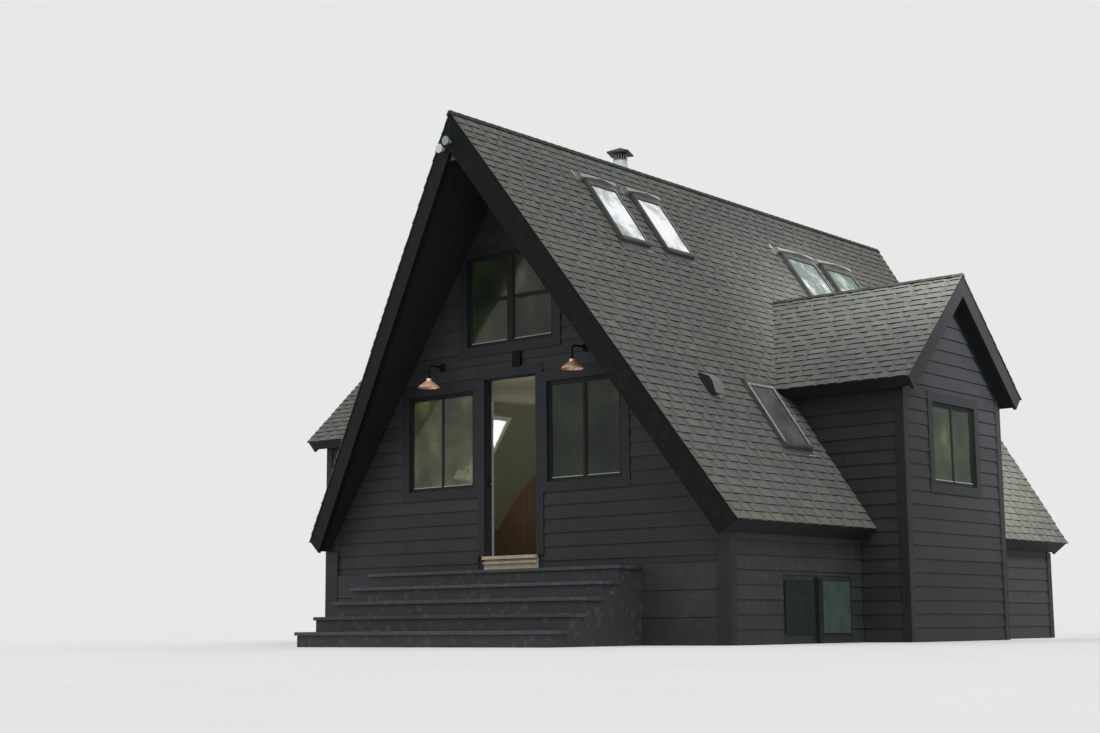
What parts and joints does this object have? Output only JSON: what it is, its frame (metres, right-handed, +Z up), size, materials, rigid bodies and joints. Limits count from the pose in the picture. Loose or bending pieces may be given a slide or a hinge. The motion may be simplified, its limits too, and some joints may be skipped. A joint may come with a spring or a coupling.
{
  "type": "a-frame cabin",
  "caption": "Steep-roofed timber cabin with a prow-shaped front overhang, a low cross wing, skylights, entry steps and an inward-swinging front door.",
  "frame": {"origin": "on the level base under the door, 20 mm behind the face of the front skirting, midway across the front", "axes": "+X to the right across the front, +Y back from the front wall, +Z up"},
  "size_m": [9.88, 10.195, 6.432],
  "materials": {
    "charcoal_skirting": "painted, matte",
    "pale_panel": "painted, matte",
    "floor_boards": "oiled boards",
    "charcoal_siding": "painted lap boards, matte",
    "roof_shingles": "deck with weathered charcoal shingles",
    "ceiling_lining": "pale cream paint",
    "charcoal_trim": "painted, matte",
    "window_frame": "black, satin",
    "window_glass": "clear",
    "sill_wood": "weathered, bare",
    "door_paint": "pale grey paint",
    "door_hardware": "satin",
    "step_boards": "painted, worn",
    "skylight_kerb": "dark, satin",
    "skylight_metal": "weathered grey",
    "flue_metal": "weathered",
    "copper_shade": "copper finish",
    "light_housing": "black",
    "flood_glass": "frosted"
  },
  "bodies": {
    "house": {"front_foundation": "charcoal_skirting", "back_foundation": "charcoal_skirting", "base_walls": "charcoal_skirting", "crawl_panels": "pale_panel", "main_floor": "floor_boards", "wing_floors": "floor_boards", "loft_floors": "floor_boards", "front_wall_left": "charcoal_siding", "front_wall_right": "charcoal_siding", "front_gable": "charcoal_siding", "back_wall": "charcoal_siding", "roof_left": "roof_shingles", "roof_right": "roof_shingles", "ceiling_left": "ceiling_lining", "ceiling_right": "ceiling_lining", "ridge_caps": "roof_shingles", "ridge_beams": "charcoal_trim", "barge_boards": "charcoal_trim", "wing_roofs_front": "roof_shingles", "wing_roofs_back": "roof_shingles", "wing_side_walls": "charcoal_siding", "wing_gables": "charcoal_siding", "wing_barge_boards": "charcoal_trim", "window_frames": "window_frame", "window_trim": "charcoal_trim", "window_glass": "window_glass", "door_frame": "charcoal_trim", "door_casing": "charcoal_trim", "door_sill": "sill_wood", "frame_hinges": "door_hardware", "step_risers": "step_boards", "step_cheeks": "step_boards", "step_treads": "step_boards", "skylight_frames": "skylight_kerb", "skylight_glass": "window_glass", "skylight_hoods": "skylight_metal", "flue": "flue_metal", "roof_vent": "flue_metal", "lamp_arms": "light_housing", "lamp_shades": "copper_shade", "door_light": "light_housing", "peak_lights": "flood_glass"},
    "door": {"door_leaf": "door_paint", "door_knobs": "door_hardware", "door_hinges": "door_hardware"}
  },
  "joints": [
    {"name": "door_hinge", "type": "hinge", "parent": "house", "child": "door", "pos_m": [0.382, 0.148, 1], "axis": [0, 0, 1], "range_deg": [-44, 90]}
  ]
}
